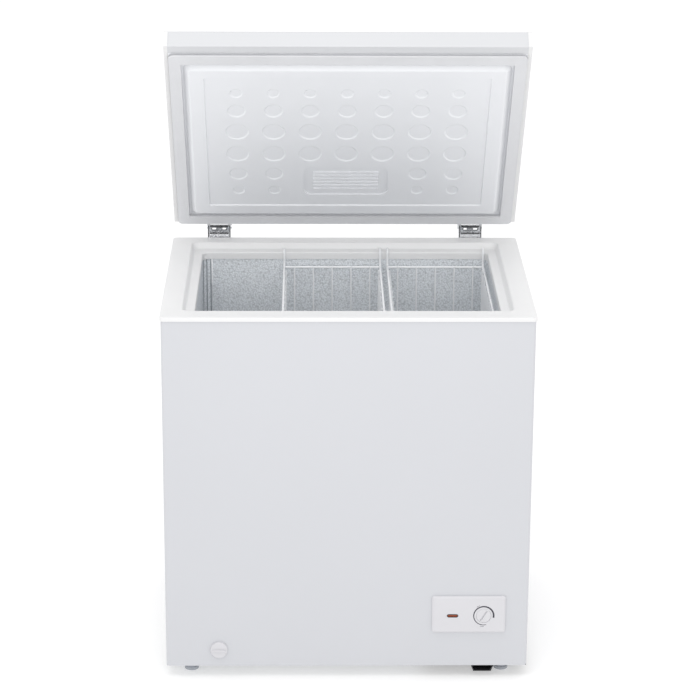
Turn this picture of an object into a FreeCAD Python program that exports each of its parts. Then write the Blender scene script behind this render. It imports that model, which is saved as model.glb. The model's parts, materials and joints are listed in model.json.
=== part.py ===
"""Chest freezer with a lift-up lid, a stucco aluminium tub and two hanging wire baskets.

Millimetres. +X is to the right as the user stands in front, +Y to the back, +Z up.
The origin is on the floor, under the middle of the freezer's overall width and depth with its lid
raised. The lid is modelled shut and then turned about its hinge line to its open rest position.
"""
import FreeCAD
import Part
import math
import os
from FreeCAD import Vector

# ---------------------------------------------------------------- driving sizes
width = 754.0                # cabinet, over the steel sides
depth = 560.0                # cabinet, front sheet to back sheet
cabinet_ahead = 16.0         # cabinet's centre ahead of the origin
body_height = 767.5          # cabinet, bottom edge to the top of the rim
foot_height = 26.0           # floor to the cabinet's bottom edge
steel = 0.8                  # gauge of the pre-coated and galvanised sheets
corner_radius = 6.0          # bend of the outer wrap at the front corners
fit_gap = 0.3                # between separate pieces that only lie next to each other
slip = 0.15                  # radial clearance of a pin or stud in its hole

rim_wall = 2.0
rim_skirt = 8.5              # height of the rim's outer wall
rim_side_flat = 43.5
rim_front_flat = 46.0
rim_rear_flat = 38.0
rim_slope_run = 6.0          # sloping face from the flat top down to the basket ledge
rim_slope_drop = 13.0
ledge_run = 18.0
ledge_drop = 2.5
lip_height = 15.5            # upright lip under the ledge, in front of the tub's top edge
rim_opening_radius = 14.0
rim_edge_radii = (4.0, 3.0, 3.0)   # flat to slope, slope to ledge, ledge to lip
round_steps = 3              # short chords that stand for each of these rounded edges

liner_gauge = 0.8
liner_radius = 20.0
pan_edge = 2.0               # the floor pan's upturned edge
floor_insulation = 60.0      # cabinet bottom edge to the tub's floor
step_insulation = 55.0       # over the machine compartment

compartment_width = 215.0    # from the right-hand side, for the compressor
compartment_height = 240.0

foot_radius = 15.0
foot_inset_x = 51.0          # foot centre from the cabinet's side
foot_inset_y = 45.0          # foot centre from the front and back
stud_radius = 4.0
stud_reach = 16.0            # of the stud above the cabinet's bottom edge
foot_grips = 16
insert_size = 44.0           # threaded block over each foot
insert_height = 20.0

tray_gauge = 1.5
tray_rib_x = 93.0            # centre of the tray's pressed rib, from the right-hand side
tray_rib_top = 48.0
tray_rib_bottom = 37.0
tray_rib_drop = 14.0

service_margin = 10.0        # opening in the back sheet, inside the machine compartment
cover_gauge = 1.0
cover_lap = 8.0              # cover over the opening's edge
louvre_rows = 9
louvre_pitch = 18.0
louvre_length = 72.0
louvre_height = 5.0
gland_radius = 8.0
gland_bore = 3.6

lid_thickness = 47.0         # height of the lid's skirt
lid_gap = 9.0                # gasket space between the rim and the shut lid
lid_front_overhang = 6.0
lid_side_set_back = 1.0      # lid narrower than the cabinet, each side
lid_trim_width = 8.0
lid_trim_proud = 2.0
lid_trim_edge = 1.0          # trim ahead of and behind the steel
lid_trim_wall = 2.0
lid_fold_radius = 9.0
lid_front_flange = 19.5
panel_gauge = 1.5
panel_over_flange = 8.0      # inner panel's front edge on top of the skin's front flange
gasket_width = 25.0
gasket_front = 20.5          # lid front edge to the gasket's outer edge
gasket_rear = 2.0
gasket_side = 9.0
plateau_gap = 4.0            # gasket's inner edge to the foot of the raised panel
plateau_height = 12.0
plateau_slope = 11.0
plateau_radius = 6.0         # its corners, seen from below
plateau_edge_radius = 5.0
field_border_x = 30.0        # raised panel's edge to its sunk field
field_border_front = 22.0
field_border_rear = 27.0
field_depth = 2.5
field_radius = 5.0
field_draft = 2.0            # the field's side walls lean outwards by this much
dimple_pitch = 77.1
dimple_rows = ((156.5, 28.0), (101.7, 40.0), (35.5, 50.0))   # offset from mid field, diameter
dimple_depth = 1.8
dimple_slope = 3.2           # run of a dimple's sloping side
pocket_width = 181.0
pocket_depth = 91.0
pocket_radius = 18.0
pocket_sink = 3.0
pocket_rear = 35.2           # pocket's rear edge to the field's rear edge
rib_count = 6
rib_pitch = 10.9
rib_length = 140.0
rib_width = 4.2

open_angle = 55.0            # lid angle in the rest position
hinge_behind = 28.0          # hinge line behind the cabinet's back sheet
hinge_above = 18.5           # hinge line above the rim
hinge_from_side = 99.0       # hinge centre from the cabinet's side
hinge_width = 50.0           # over the cabinet bracket's ears
hinge_gauge = 1.5
hinge_plate_length = 85.0    # bracket's length down the back sheet
hinge_web_height = 9.0       # top of the bracket's front web above the hinge line
hinge_web_front = 23.4       # front web ahead of the hinge line
hinge_slot_length = 32.0
hinge_slot_height = 5.6
hinge_pin_radius = 4.0
link_pin_radius = 3.0
link_arm = 14.0              # link pin's distance from the hinge line
link_shut_angle = -37.5      # link arm below the horizontal with the lid shut
running = 0.08               # radial clearance of a pin that turns or slides in its bore
plunger_gap = 0.8
plunger_cap_radius = 7.5
plunger_cap_height = 4.0
plunger_stem_radius = 3.5
spring_seat_drop = 72.0      # spring seat below the hinge line
spring_radius = 5.6
spring_wire = 1.1
spring_turns = 11

basket_width = 215.0
basket_height = 210.0
basket_drop = 45.0           # rim top to the centre of the basket's top wires
basket_wall_gap = 4.5        # basket to the lip in front and behind
basket_side_gap = 9.0        # right-hand basket to the tub's side
basket_between = 11.0
frame_wire = 2.5             # radii of the coated wires
mesh_wire = 1.6
rail_bend = 6.0
mesh_bend = 9.0
hook_inset = 3.0             # hook ends short of the ledge's outer edge
long_wire_count = 5
long_wire_pitch = 41.3
cross_wire_count = 10

bezel_width = 153.0
bezel_height = 82.3
bezel_x = 123.8              # bezel centre from the right-hand side
bezel_z = 117.7              # bezel centre above the cabinet's bottom edge
bezel_proud = 5.5
bezel_wall = 2.0
bezel_bevel = 3.5
knob_radius = 15.5
knob_offset = 31.1           # knob centre right of the bezel's centre
knob_slot_angle = 58.0
lens_offset = -33.7
lens_length = 24.0
lens_height = 7.2
dial_drop = 2.0              # knob and lens below the bezel's centre
knob_depth = 6.0
knob_above_bezel = 0.4
knob_floor = 1.0             # of solid plastic between the coin disc and the shaft's bore
shaft_radius = 3.0
thermostat_size = (40.0, 36.0, 24.0)     # across, high, deep
thermostat_front = 12.0      # behind the front sheet's face
lamp_radius = 5.0

drain_x = 110.5              # drain centre from the left-hand side
drain_z = 37.0               # front outlet above the cabinet's bottom edge
drain_y = 100.0              # floor drain behind the front sheet
drain_cap_radius = 18.0
drain_bore = 7.0
drain_wall = 2.0
drain_bend_room = 4.0        # the bend's radius over the tube's outer radius
drain_flange_width = 8.0
drain_flange_height = 1.5

coil_radius = 4.0            # evaporator and condenser tube
coil_clearance = 1.0
tight_bend = 12.0            # of the tubes where they rise
evaporator_start = 30.0      # first ring above the step's floor
evaporator_pitch = 56.0
condenser_start = 70.0
condenser_pitch = 58.0
coil_below_lip = 45.0
riser_gap = 60.0
return_step = 25.0

compressor_length = 190.0
compressor_width = 152.0
compressor_height = 168.0
compressor_behind = 80.0     # compressor to the cabinet's back
plate_gauge = 3.0            # compressor's foot plate
bolt_radius = 3.0
pipe_radius = 3.0
drier_radius = 9.0
drier_length = 110.0
capillary_radius = 1.2
grommet_height = 14.0
grommet_radius = 11.0
mount_pitch_x = 108.0
mount_pitch_y = 168.0

# ---------------------------------------------------------------- levels and rectangles
base_z = foot_height
rim_z = base_z + body_height
left, right = -width / 2, width / 2
front, back = -depth / 2 - cabinet_ahead, depth / 2 - cabinet_ahead
ledge_inset = rim_slope_run + ledge_run
ledge_edge_z = rim_z - rim_slope_drop - ledge_drop
lip_z = ledge_edge_z - lip_height
compartment_left = right - compartment_width
compartment_top = base_z + compartment_height
floor_z = base_z + floor_insulation
step_z = compartment_top + step_insulation
shell_top = rim_z - rim_wall - fit_gap
rim_proud = rim_wall + fit_gap   # the rim's outer wall stands clear outside the steel
lip_radius = liner_radius - rim_wall - fit_gap
parts = {}


def box(x0, x1, y0, y1, z0, z1):
    return Part.makeBox(x1 - x0, y1 - y0, z1 - z0, Vector(x0, y0, z0))


def rod(start, end, radius):
    start, end = Vector(*start), Vector(*end)
    return Part.makeCylinder(radius, (end - start).Length, start, end - start)


def grown(rect, side, front_by=None, rear_by=None):
    """A rectangle (x0, x1, y0, y1) moved outwards by these amounts, inwards if negative."""
    front_by = side if front_by is None else front_by
    rear_by = side if rear_by is None else rear_by
    return rect[0] - side, rect[1] + side, rect[2] - front_by, rect[3] + rear_by


def outline(rect, radius, z):
    """A rounded rectangle as a closed wire at height z."""
    x0, x1, y0, y1 = rect
    r = radius
    s = r * math.sqrt(0.5)
    arcs = []
    for cx, cy, ax, ay in ((x1 - r, y0 + r, 1, -1), (x1 - r, y1 - r, 1, 1),
                           (x0 + r, y1 - r, -1, 1), (x0 + r, y0 + r, -1, -1)):
        if ax * ay < 0:
            first, last = Vector(cx, cy + ay * r, z), Vector(cx + ax * r, cy, z)
        else:
            first, last = Vector(cx + ax * r, cy, z), Vector(cx, cy + ay * r, z)
        arcs.append(Part.Arc(first, Vector(cx + ax * s, cy + ay * s, z), last).toShape())
    edges = []
    for n, arc in enumerate(arcs):
        following = arcs[(n + 1) % 4]
        edges.append(arc)
        edges.append(Part.makeLine(arc.Vertexes[-1].Point, following.Vertexes[0].Point))
    return Part.Wire(edges)


def slab(rect, radius, z0, z1):
    return Part.Face(outline(rect, radius, z0)).extrude(Vector(0, 0, z1 - z0))


def taper(rect_a, radius_a, z_a, rect_b, radius_b, z_b):
    """A solid that changes from one rounded rectangle to another."""
    return Part.makeLoft([outline(rect_a, radius_a, z_a), outline(rect_b, radius_b, z_b)], True, True)


def prism_x(points, x0, x1):
    """A closed outline of (y, z) points, extruded along X."""
    corners = [Vector(x0, y, z) for y, z in points]
    return Part.Face(Part.makePolygon(corners + corners[:1])).extrude(Vector(x1 - x0, 0, 0))


def prism_y(points, y0, y1):
    """A closed outline of (x, z) points, extruded along Y."""
    corners = [Vector(x, y0, z) for x, z in points]
    return Part.Face(Part.makePolygon(corners + corners[:1])).extrude(Vector(0, y1 - y0, 0))


def turned(points, centre):
    """A closed outline of (radius, height) points, turned about a vertical axis at centre."""
    corners = [Vector(r, 0, z) for r, z in points]
    solid = Part.Face(Part.makePolygon(corners + corners[:1])).revolve(Vector(), Vector(0, 0, 1), 360)
    solid.translate(Vector(*centre))
    return solid


def fused(shapes):
    shapes = list(shapes)
    if len(shapes) == 1:
        return shapes[0]
    return shapes[0].multiFuse(shapes[1:]).removeSplitter()


def cut(shape, *tools):
    return shape.cut(list(tools)).removeSplitter()


def bent_path(points, bend):
    """Straight runs through the points, joined by tangent arcs of one radius."""
    points = [Vector(*p) for p in points]
    edges, start = [], points[0]
    for before, corner, after in zip(points, points[1:], points[2:]):
        inward, outward = (before - corner).normalize(), (after - corner).normalize()
        half = math.acos(max(-1.0, min(1.0, inward.dot(outward)))) / 2
        reach = bend / math.tan(half)
        first, last = corner + inward * reach, corner + outward * reach
        middle = (inward + outward).normalize()
        peak = corner + middle * (bend / math.sin(half) - bend)
        edges.append(Part.makeLine(start, first))
        edges.append(Part.Arc(first, peak, last).toShape())
        start = last
    edges.append(Part.makeLine(start, points[-1]))
    return Part.Wire(edges)


def bent_rod(points, bend, radius):
    """A round wire or rod that follows bent_path."""
    path = bent_path(points, bend)
    first, second = Vector(*points[0]), Vector(*points[1])
    profile = Part.Wire([Part.makeCircle(radius, first, second - first)])
    return path.makePipe(Part.Face(profile))


def softened(profile, radii):
    """A profile of (inward, height) corners, its inner ones rounded off by short chords."""
    points = []
    for before, corner, after, radius in zip(profile, profile[1:], profile[2:], radii):
        arc = bent_path([(a, 0, z) for a, z in (before, corner, after)], radius).Edges[1]
        points += [(p.x, p.z) for p in arc.discretize(round_steps + 1)]
    return points + [profile[-1]]


def tapered_stack(levels):
    """Solids between each (rectangle, corner radius, height) level and the next one below it."""
    return [taper(*lower, *upper) for upper, lower in zip(levels, levels[1:])]


def mirrored(shape):
    return shape.mirror(Vector(), Vector(1, 0, 0))


def save(name, *shapes):
    """A node holds one or more separate solids."""
    solids = [solid for shape in shapes for solid in shape.Solids]
    parts[name] = Part.makeCompound(solids) if len(solids) > 1 else solids[0]


# ---------------------------------------------------------------- shared outlines
shell_rect = (left, right, front, back)
inside_rect = grown(shell_rect, -steel)
rim_rect = grown(shell_rect, rim_proud)
opening_rect = grown(rim_rect, -rim_side_flat, -rim_front_flat, -rim_rear_flat)
lip_rect = grown(opening_rect, -ledge_inset)
liner_rect = grown(lip_rect, rim_wall + fit_gap)
liner_outer = grown(liner_rect, liner_gauge)
step_left = compartment_left - step_insulation
drain_at = (left + drain_x, front + drain_y)
bezel_at = (right - bezel_x, base_z + bezel_z)
knob_at = (bezel_at[0] + knob_offset, bezel_at[1] - dial_drop)
lens_at = (bezel_at[0] + lens_offset, bezel_at[1] - dial_drop)
foot_places = {
    "front_left": (left + foot_inset_x, front + foot_inset_y),
    "front_right": (right - foot_inset_x, front + foot_inset_y),
    "rear_left": (left + foot_inset_x, back - foot_inset_y),
    "rear_right": (right - foot_inset_x, back - foot_inset_y),
}
hinge_line = (back + hinge_behind, rim_z + hinge_above)
hinge_places = {"left": left + hinge_from_side, "right": right - hinge_from_side}
lid_z = rim_z + lid_gap
lid_top = lid_z + lid_thickness
lid_rect = (left + lid_side_set_back, right - lid_side_set_back, front - lid_front_overhang, back)


# ---------------------------------------------------------------- cabinet sheets
def bezel_opening(y0, y1, clearance):
    """The cut in the front sheet behind the control bezel."""
    half_x = bezel_width / 2 - bezel_bevel - bezel_wall - clearance
    half_z = bezel_height / 2 - bezel_bevel - bezel_wall - clearance
    x, z = bezel_at
    return box(x - half_x, x + half_x, y0, y1, z - half_z, z + half_z)


def rear_notches():
    """The steel's rear corners are cut back where the rim's skirt is rounded over them."""
    r = corner_radius
    z0, z1 = rim_z - rim_skirt - 1, rim_z
    return [box(left - 1, left + r, back - r, back + 1, z0, z1),
            box(right - r, right + 1, back - r, back + 1, z0, z1)]


def outer_wrap():
    """One steel sheet bent round the front and both sides."""
    run_on = depth
    outside = slab(grown(shell_rect, 0, 0, run_on), corner_radius, base_z, shell_top)
    inside = slab(grown(inside_rect, 0, 0, run_on), corner_radius - steel, base_z, shell_top)
    behind = box(2 * left, 2 * right, back, back + 2 * run_on, 0, 2 * rim_z)
    drain_hole = rod((drain_at[0], front - 1, base_z + drain_z),
                     (drain_at[0], front + 2 * steel, base_z + drain_z),
                     drain_bore + drain_wall + fit_gap)
    front_hole = bezel_opening(front - 1, front + 2 * steel, 0)
    return cut(outside, inside, behind, drain_hole, front_hole, *rear_notches())


service_rect = (compartment_left + service_margin, right - steel - service_margin,
                base_z + service_margin, compartment_top - service_margin)


def back_sheet():
    x0, x1, z0, z1 = service_rect
    sheet = box(left + steel, right - steel, back - steel, back, base_z, shell_top)
    return cut(sheet, box(x0, x1, back - 2 * steel, back + 1, z0, z1), *rear_notches())


def stepped_base():
    """Galvanised bottom sheet, bent up and over the machine compartment."""
    x0, x1, t = left + steel + fit_gap, right - steel - fit_gap, steel
    z0, z1, step = base_z, compartment_top, compartment_left
    points = [(x0, z0), (step, z0), (step, z1), (x1, z1), (x1, z1 + t), (step - t, z1 + t),
              (step - t, z0 + t), (x0, z0 + t)]
    sheet = prism_y(points, front + steel + fit_gap, back - steel - fit_gap)
    holes = [rod((x, y, base_z - 1), (x, y, base_z + 2 * t), stud_radius + slip)
             for x, y in foot_places.values() if x < step]
    return cut(sheet, *holes)


def compressor_tray():
    """Steel plate across the compartment's bottom, with one pressed rib that hangs below it."""
    t = tray_gauge
    x0, x1 = compartment_left + fit_gap, right - steel - fit_gap
    middle = right - tray_rib_x
    top, bottom = tray_rib_top / 2, tray_rib_bottom / 2
    z = base_z
    points = [(x0, z), (middle - top, z), (middle - bottom, z - tray_rib_drop),
              (middle + bottom, z - tray_rib_drop), (middle + top, z), (x1, z), (x1, z + t),
              (middle + top - t, z + t), (middle + bottom - t, z + t - tray_rib_drop),
              (middle - bottom + t, z + t - tray_rib_drop), (middle - top + t, z + t), (x0, z + t)]
    plate = prism_y(points, front + steel + fit_gap, back - steel - fit_gap)
    holes = [rod((x, y, z - 1), (x, y, z + 2 * t), stud_radius + slip)
             for x, y in foot_places.values() if x > compartment_left]
    bolts = [rod((x, y, z - 1), (x, y, z + 2 * t), bolt_radius + slip) for x, y in mount_places]
    return cut(plate, *(holes + bolts))


compressor_at = ((compartment_left + right - steel) / 2,
                 back - compressor_behind - compressor_length / 2)
mount_places = [(compressor_at[0] + i * mount_pitch_x / 2, compressor_at[1] + j * mount_pitch_y / 2)
                for i in (-1, 1) for j in (-1, 1)]

save("outer_wrap", outer_wrap())
save("back_sheet", back_sheet())
save("base_sheet", stepped_base())
save("compressor_tray", compressor_tray())


# ---------------------------------------------------------------- rim, tub and insulation
def rim_corner(inward):
    """Corner radius of the rim's opening this far inwards from the flat's edge."""
    share = max(0.0, inward - rim_slope_run) / ledge_run
    return rim_opening_radius + max(0.0, -inward) + share * (lip_radius - rim_opening_radius)


def rim_cavity(shrink, top):
    """The space inside the rim, from top down, for its outer face or, shrunk, its inner face."""
    profile = [(0, rim_z), (rim_slope_run, rim_z - rim_slope_drop), (ledge_inset, ledge_edge_z),
               (ledge_inset, lip_z - 1)]
    if shrink == 0:
        profile = softened([(-rim_front_flat, rim_z)] + profile, rim_edge_radii)
    levels = [(grown(opening_rect, shrink - a), rim_corner(a) + shrink, z - shrink)
              for a, z in profile]
    rect, radius, z = levels[0]
    return fused([slab(rect, radius, z, top)] + tapered_stack(levels))


rim_block = slab(rim_rect, corner_radius + rim_proud, lip_z, rim_z)
rim_inside = grown(rim_rect, -rim_wall)
rim_inside_radius = corner_radius + fit_gap
rim_core = slab(rim_inside, rim_inside_radius, lip_z - 1, rim_z - rim_wall)


def top_rim():
    """One white moulding: flat top, slope, basket ledge and lip."""
    under = cut(rim_core, rim_cavity(rim_wall, rim_z + 1))
    below_skirt = cut(slab(grown(rim_rect, 1), corner_radius, lip_z - 1, rim_z - rim_skirt),
                      slab(rim_inside, rim_inside_radius, lip_z - 2, rim_z))
    rim = cut(rim_block, rim_cavity(0, rim_z + 1), under, below_skirt)
    edges = [e for e in rim.Edges if e.BoundBox.ZMin > rim_z - 0.01
             and (e.BoundBox.XMin < left or e.BoundBox.XMax > right
                  or e.BoundBox.YMin < front or e.BoundBox.YMax > back)]
    return rim.makeFillet(rim_wall * 0.7, edges)


def tub_space(grow, top):
    """The tub's inside, or its outside when grown: a deep left part and a shallow right part."""
    x0, x1, y0, y1 = grown(liner_rect, grow)
    deep = slab((x0, step_left + grow, y0, y1), liner_radius + grow, floor_z - grow, top)
    shallow = slab((x0, x1, y0, y1), liner_radius + grow, step_z - grow, top)
    return fused([deep, shallow])


liner_top = ledge_edge_z - rim_wall - fit_gap
tub = cut(tub_space(liner_gauge, liner_top), tub_space(0, liner_top + 1))
wall_band = fused([box(left, right, front, back, step_z + pan_edge, rim_z),
                   box(left, step_left - liner_radius, front, back, floor_z + pan_edge, rim_z)])
drain_outer = drain_bore + drain_wall
drain_run = [(*drain_at, floor_z + 0.5), (*drain_at, base_z + drain_z),
             (drain_at[0], front, base_z + drain_z)]
drain_bend = drain_outer + drain_bend_room
drain_flange = drain_outer + drain_flange_width

save("top_rim", top_rim())
save("liner_walls", tub.common(wall_band).removeSplitter())
save("liner_floor", cut(tub, wall_band, rod((*drain_at, floor_z - 5), (*drain_at, floor_z + 1),
                                            drain_outer + slip)))


def drain_tube():
    """Outlet tube from a flange on the tub's floor to the cabinet's front."""
    x, y = drain_at
    flange = rod((x, y, floor_z), (x, y, floor_z + drain_flange_height), drain_flange)
    body = fused([bent_rod(drain_run, drain_bend, drain_outer), flange])
    bore = bent_rod(drain_run, drain_bend, drain_bore)
    mouth = rod((x, y, floor_z - 1), (x, y, floor_z + 5), drain_bore)
    return cut(body, bore, mouth)


groove = coil_radius + coil_clearance


def ring_levels(start, pitch):
    """Heights of a coil's rings, as many as fit under the rim's lip."""
    room = lip_z - coil_below_lip - step_z - start
    return [step_z + start + n * pitch for n in range(1 + int(room / pitch))]


evaporator = {
    "rect": grown(liner_outer, groove), "bend": liner_radius + liner_gauge + groove,
    "levels": ring_levels(evaporator_start, evaporator_pitch), "riser": right - 107.0}
condenser = {
    "rect": grown(inside_rect, -groove), "bend": tight_bend,
    "levels": ring_levels(condenser_start, condenser_pitch), "riser": right - 57.0}
tube_end_z = compartment_top - 20.0


def coil_points(coil):
    """Up from the machine compartment, once round per level, and back down behind."""
    x0, x1, y0, y1 = coil["rect"]
    riser, levels = coil["riser"], coil["levels"]
    points = [(riser, y1, tube_end_z)]
    for z, above in zip(levels, levels[1:] + [None]):
        points += [(riser, y1, z), (x1, y1, z), (x1, y0, z), (x0, y0, z), (x0, y1, z)]
        if above:
            points += [(riser - riser_gap, y1, z), (riser - riser_gap, y1, (z + above) / 2),
                       (riser, y1, (z + above) / 2)]
    return points + coil_return(coil)


def coil_return(coil):
    y1, z = coil["rect"][3], coil["levels"][-1]
    x = coil["riser"] - riser_gap - return_step
    y = y1 + return_step if coil is evaporator else y1 - return_step
    return [(x, y1, z), (x, y, z), (x, y, tube_end_z)]


def coil_tube(coil):
    """Rings with wide corners, and tight bends only where the tube rises."""
    edges = []
    points = coil_points(coil)
    start = Vector(*points[0])
    x0, x1, y0, y1 = coil["rect"]
    for before, corner, after in zip(points, points[1:], points[2:]):
        at_corner = corner[0] in (x0, x1) and corner[1] in (y0, y1)
        path = bent_path([before, corner, after], coil["bend"] if at_corner else tight_bend)
        edges.append(Part.makeLine(start, path.Edges[0].Vertexes[-1].Point))
        edges.append(path.Edges[1])
        start = path.Edges[1].Vertexes[-1].Point
    edges.append(Part.makeLine(start, Vector(*points[-1])))
    first, second = Vector(*points[0]), Vector(*points[1])
    profile = Part.Wire([Part.makeCircle(coil_radius, first, second - first)])
    return Part.Wire(edges).makePipe(Part.Face(profile))


def coil_channels(coil):
    """Square channels in the foam for the rings, the risers and the return run."""
    x0, x1, y0, y1 = coil["rect"]
    riser, levels = coil["riser"], coil["levels"]
    g = groove
    tools = []
    for z in levels:
        if coil is evaporator:
            tools.append(slab(grown(coil["rect"], g), coil["bend"] + g, z - g, z + g))
        else:
            ring = slab(grown(coil["rect"], g + 1), corner_radius, z - g, z + g)
            core = slab(grown(coil["rect"], -g), coil["bend"] - g, z - g - 1, z + g + 1)
            tools.append(cut(ring, core))
    end, y_end = coil_return(coil)[-1][:2]
    z_low, z_high = compartment_top, levels[-1] + g
    near, far = (y1 - g - 1, y1 + g) if coil is evaporator else (y1 - g, y1 + g + 1)
    tools.append(box(riser - riser_gap - tight_bend, riser + tight_bend, near, far, z_low, z_high))
    tools.append(box(end - g - tight_bend, end + g, min(y1, y_end) - g, max(y1, y_end) + g,
                     z_high - 2 * g - tight_bend, z_high))
    tools.append(box(end - g, end + g, y_end - g, y_end + g, z_low, z_high))
    return tools


def foot_insert(x, y, z):
    """Threaded block that takes a foot's stud."""
    block = box(x - insert_size / 2, x + insert_size / 2, y - insert_size / 2, y + insert_size / 2,
                z, z + insert_height)
    return cut(block, rod((x, y, z - 1), (x, y, z + insert_height + 1), stud_radius + running))


insert_z = {name: base_z + (steel if x < compartment_left else tray_gauge)
            for name, (x, y) in foot_places.items()}
inserts = {name: foot_insert(x, y, insert_z[name]) for name, (x, y) in foot_places.items()}


def insulation():
    """Foam that fills the cabinet between the sheets, the tub and the rim."""
    fill = slab(inside_rect, corner_radius - steel, base_z + steel, shell_top)
    machine_room = box(compartment_left - steel, right, front, back, 0, compartment_top + steel)
    tools = [machine_room, box(left, right, back - steel, back, 0, rim_z),
             tub_space(liner_gauge, rim_z), rim_block.cut(rim_core),
             rim_cavity(rim_wall, rim_z + 1), bent_rod(drain_run, drain_bend, drain_outer)]
    tools += coil_channels(evaporator) + coil_channels(condenser)
    tools += [box(s.BoundBox.XMin, s.BoundBox.XMax, s.BoundBox.YMin, s.BoundBox.YMax,
                  s.BoundBox.ZMin - 1, s.BoundBox.ZMax)
              for s in inserts.values() if s.BoundBox.XMax < compartment_left]
    return cut(fill, *tools)


save("insulation_foam", insulation())
save("drain_tube", drain_tube())
save("evaporator_coil", coil_tube(evaporator))
save("condenser_coil", coil_tube(condenser))
save("foot_inserts", *inserts.values())

tube_holes = [rod((x, y, compartment_top - 1), (x, y, compartment_top + 2), groove)
              for coil in (evaporator, condenser)
              for x, y in (coil_points(coil)[0][:2], coil_points(coil)[-1][:2])]
parts["base_sheet"] = cut(parts["base_sheet"], *tube_holes)


# ---------------------------------------------------------------- feet, drain and service cover
def foot(x, y, stud_top):
    """Levelling foot with a gripped collar, its pad on the floor."""
    top = base_z - fit_gap
    collar, waist = foot_radius + 2, foot_radius - 1.5
    solid = turned([(0, 0), (foot_radius - 1, 0), (foot_radius, 1), (foot_radius, 7), (waist, 8),
                    (waist, 11), (collar, 12), (collar, top), (stud_radius, top),
                    (stud_radius, stud_top), (0, stud_top)], (x, y, 0))
    grips = []
    for n in range(foot_grips):
        a = 2 * math.pi * n / foot_grips
        gx, gy = x + (collar + 0.6) * math.cos(a), y + (collar + 0.6) * math.sin(a)
        grips.append(rod((gx, gy, 11), (gx, gy, top + 1), 1.6))
    return cut(solid, *grips)


for name, (x, y) in foot_places.items():
    save("foot_" + name, foot(x, y, base_z + stud_reach))


def facing_front(shape, x, y, z):
    """Turns a shape built on the XY plane so that its +Z points to the front."""
    shape.rotate(Vector(), Vector(1, 0, 0), 90)
    shape.translate(Vector(x, y, z))
    return shape


def drain_cap():
    """Round cap on the front, its stem a push fit in the drain tube."""
    stem = drain_bore - running
    disc = turned([(0, -18), (stem - 1, -18), (stem, -17), (stem, 0), (drain_cap_radius, 0),
                   (drain_cap_radius, 4), (drain_cap_radius - 2, 6), (0, 6)], (0, 0, 0))
    grip = box(-drain_cap_radius + 5, drain_cap_radius - 5, -2, 2, 5, 9)
    return facing_front(fused([disc, grip]), drain_at[0], front, base_z + drain_z)


def floor_plug():
    """Rubber plug in the tub's drain, with a finger tab."""
    stem, z = drain_bore - running, drain_flange_height
    lip = stem + 5
    plug = turned([(0, -9), (stem - 1, -9), (stem, -8), (stem, z), (lip, z), (lip, z + 2),
                   (lip - 1, z + 3), (0, z + 3)], (*drain_at, floor_z))
    tab = box(drain_at[0] - 7, drain_at[0] + 7, drain_at[1] - 1.5, drain_at[1] + 1.5,
              floor_z + z + 2, floor_z + z + 12)
    return fused([plug, tab])


save("drain_cap", drain_cap())
save("drain_plug", floor_plug())

cover_rect = (service_rect[0] - cover_lap, service_rect[1] + cover_lap,
              service_rect[2] - cover_lap + 2, service_rect[3] + cover_lap)
gland_at = (cover_rect[1] - 28, cover_rect[2] + 26)
cover_screw_places = [(x, z) for x in (cover_rect[0] + 4, cover_rect[1] - 4)
                      for z in (cover_rect[2] + 14, cover_rect[3] - 4)]


def service_cover():
    """Louvred sheet over the machine compartment's opening."""
    x0, x1, z0, z1 = cover_rect
    sheet = box(x0, x1, back, back + cover_gauge, z0, z1)
    tools = [rod((x, back - 1, z), (x, back + 5, z), 2.0) for x, z in cover_screw_places]
    tools.append(rod((gland_at[0], back - 1, gland_at[1]), (gland_at[0], back + 5, gland_at[1]),
                     gland_radius + slip))
    middle, half_x, half_z = (x0 + x1) / 2, louvre_length / 2, louvre_height / 2
    for n in range(louvre_rows):
        z = z1 - 30 - n * louvre_pitch
        for x in (middle - half_x - 14, middle + half_x + 14):
            tools.append(box(x - half_x, x + half_x, back - 1, back + 5, z - half_z, z + half_z))
    return cut(sheet, *tools)


def screw(x, y, z, towards):
    """Pan head screw along Y with its shank in the sheet behind; towards is +1 or -1."""
    head = rod((x, y, z), (x, y + towards * 2.2, z), 3.6)
    shank = rod((x, y, z), (x, y - towards * 8, z), 1.9)
    cross = [box(x - 2, x + 2, y + towards * 1.2, y + towards * 4, z - 0.4, z + 0.4)
             if towards > 0 else box(x - 2, x + 2, y - 4, y - 1.2, z - 0.4, z + 0.4)]
    return cut(fused([head, shank]), *cross)


def gland():
    """Cord bush in the cover, with the cord's passage open."""
    x, z = gland_at
    body = fused([rod((x, back - 6, z), (x, back + cover_gauge, z), gland_radius),
                  rod((x, back + cover_gauge, z), (x, back + 7, z), gland_radius + 3),
                  rod((x, back - 3, z), (x, back, z), gland_radius + 2)])
    return cut(body, rod((x, back - 10, z), (x, back + 10, z), gland_bore))


save("service_cover", service_cover())
save("cable_gland", gland())
cover_screws = [screw(x, back + cover_gauge, z, 1) for x, z in cover_screw_places]
save("service_cover_screws", *cover_screws)
parts["back_sheet"] = cut(parts["back_sheet"],
                          *[rod((x, back - 3, z), (x, back + 1, z), 1.95)
                            for x, z in cover_screw_places])


# ---------------------------------------------------------------- machine compartment
tray_top = base_z + tray_gauge
plate_z = tray_top + grommet_height
shell_z = plate_z + plate_gauge
cx, cy = compressor_at


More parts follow.
